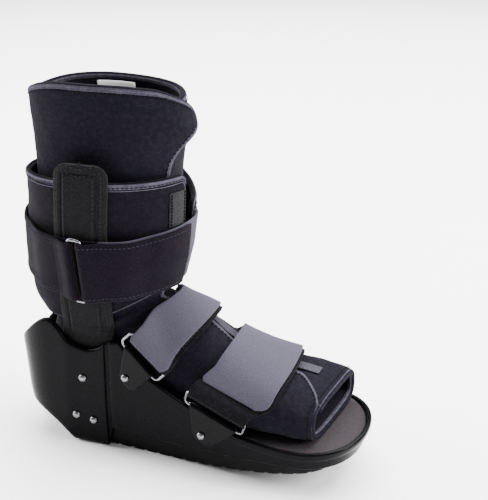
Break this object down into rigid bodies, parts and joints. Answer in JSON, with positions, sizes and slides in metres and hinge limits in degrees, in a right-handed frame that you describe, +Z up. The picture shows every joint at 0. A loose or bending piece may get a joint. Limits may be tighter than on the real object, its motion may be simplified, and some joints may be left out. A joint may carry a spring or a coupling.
{
  "type": "walking boot",
  "caption": "Short rocker-sole walking boot: moulded foot shell, padded foot and shaft liner, stiffened calf wrap, and straps run through wire rings.",
  "frame": {"origin": "middle of the flat stretch of the outsole that the boot stands on", "axes": "+X to the toe, +Z up, +Y to the side that the straps are looped on"},
  "size_m": [0.3007, 0.1353, 0.3],
  "materials": {
    "outsole": "matt rubber with cross grooves",
    "shell": "moulded plastic, slightly glossy",
    "insole": "matt foam sheet",
    "liner": "brushed padded cloth",
    "wrap": "brushed padded cloth",
    "strap": "woven strap",
    "pad": "smooth coated strap",
    "upright": "looped cloth sleeve",
    "patch": "light hook tape",
    "dark_patch": "dark hook tape",
    "tab": "thin moulded plastic",
    "chrome": "polished wire",
    "rivet": "dark plated steel",
    "label": "plain woven label, bare"
  },
  "bodies": {
    "root": {"shell": "shell", "outsole": "outsole", "insole": "insole", "liner": "liner", "liner_hook_strip": "pad", "liner_label": "label", "calf_wrap": "wrap", "wrap_patch_near": "patch", "wrap_patch_far": "dark_patch", "upright_near": "upright", "upright_far": "upright", "calf_strap_base": "pad", "calf_strap": "strap", "calf_back_strap": "strap", "calf_ring_near": "chrome", "calf_ring_far": "chrome", "instep_strap": "strap", "instep_pad": "pad", "instep_ring_near": "chrome", "instep_tab_near": "tab", "instep_rivet_near": "rivet", "instep_ring_far": "chrome", "instep_tab_far": "tab", "instep_rivet_far": "rivet", "forefoot_strap": "strap", "forefoot_pad": "pad", "forefoot_ring_near": "chrome", "forefoot_tab_near": "tab", "forefoot_rivet_near": "rivet", "forefoot_ring_far": "chrome", "forefoot_tab_far": "tab", "forefoot_rivet_far": "rivet", "column_rivet_near_1": "rivet", "column_rivet_near_2": "rivet", "column_rivet_near_3": "rivet", "column_rivet_far_1": "rivet", "column_rivet_far_2": "rivet", "column_rivet_far_3": "rivet"}
  },
  "joints": []
}
